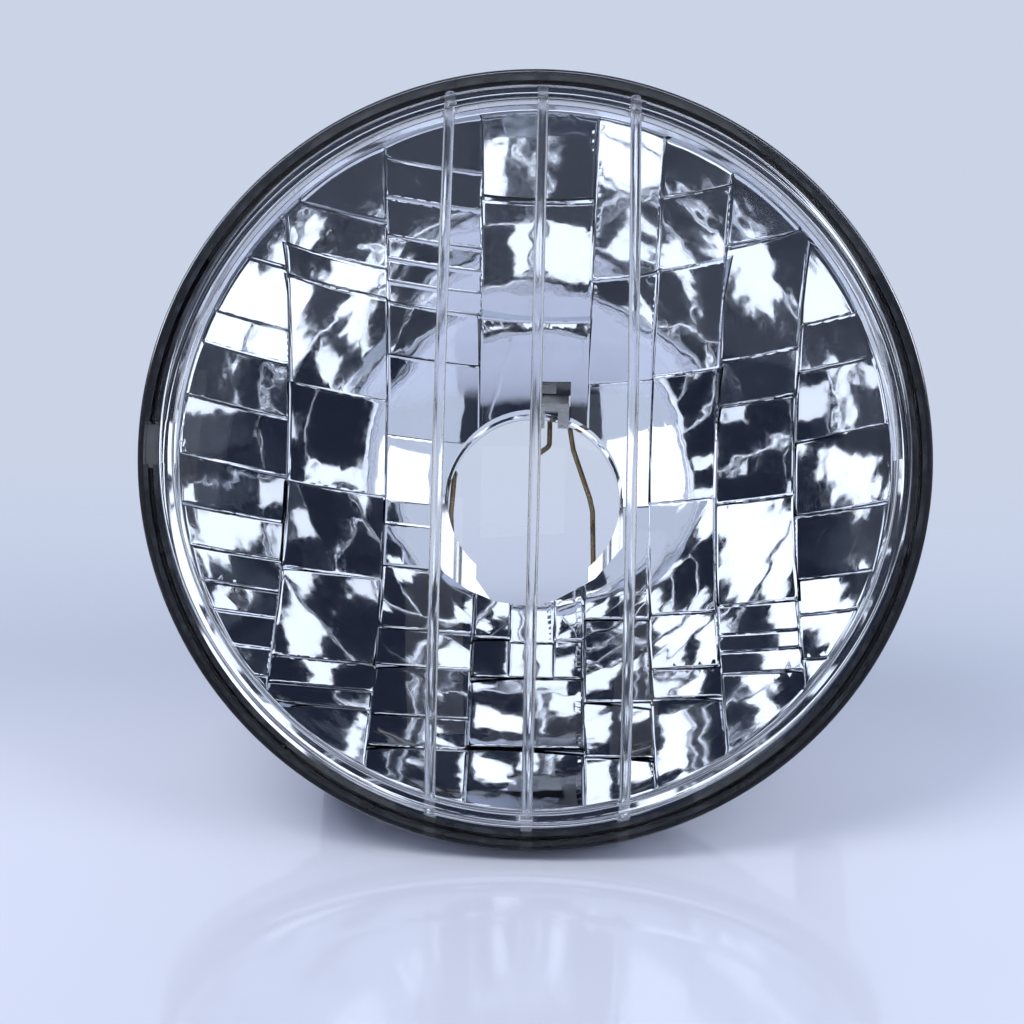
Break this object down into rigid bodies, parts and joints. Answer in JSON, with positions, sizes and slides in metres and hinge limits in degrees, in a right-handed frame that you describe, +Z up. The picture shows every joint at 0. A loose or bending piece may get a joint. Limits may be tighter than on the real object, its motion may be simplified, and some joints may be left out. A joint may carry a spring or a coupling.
{
  "type": "motorcycle headlight",
  "caption": "Round motorcycle headlight unit: clear ribbed lens bonded to a many-facet mirrored reflector, with a hinged wire that holds the bulb.",
  "frame": {"origin": "on the optical axis, at the face that the bulb's flange seats on", "axes": "+Z up, +X to the right seen from the front, +Y backwards along the optical axis, so that the lens faces -Y"},
  "size_m": [0.16, 0.099, 0.16],
  "materials": {
    "clear_lens": "clear polished polycarbonate",
    "sealant": "black butyl bead",
    "mirrored_plastic": "moulded plastic, vacuum metallised mirror inside",
    "plated_wire": "yellow passivated spring wire",
    "plated_sheet": "zinc plated sheet",
    "screws": "zinc plated",
    "inserts": "turned brass",
    "rubber": "matt moulded rubber"
  },
  "bodies": {
    "housing": {"lens": "clear_lens", "lens_sealant": "sealant", "reflector": "mirrored_plastic", "hinge_plate": "plated_sheet", "hinge_screw_left": "screws", "hinge_screw_right": "screws", "catch_bracket": "plated_sheet", "catch_screw": "screws", "lug_insert_1": "inserts", "lug_insert_2": "inserts", "lug_insert_3": "inserts", "lug_insert_4": "inserts", "breather_cap_left": "rubber", "breather_cap_right": "rubber"},
    "clip": {"retaining_wire": "plated_wire"}
  },
  "joints": [
    {"name": "clip_swing", "type": "hinge", "parent": "housing", "child": "clip", "pos_m": [0, 0.006, -0.025], "axis": [-1, 0, 0], "range_deg": [0, 90]}
  ]
}
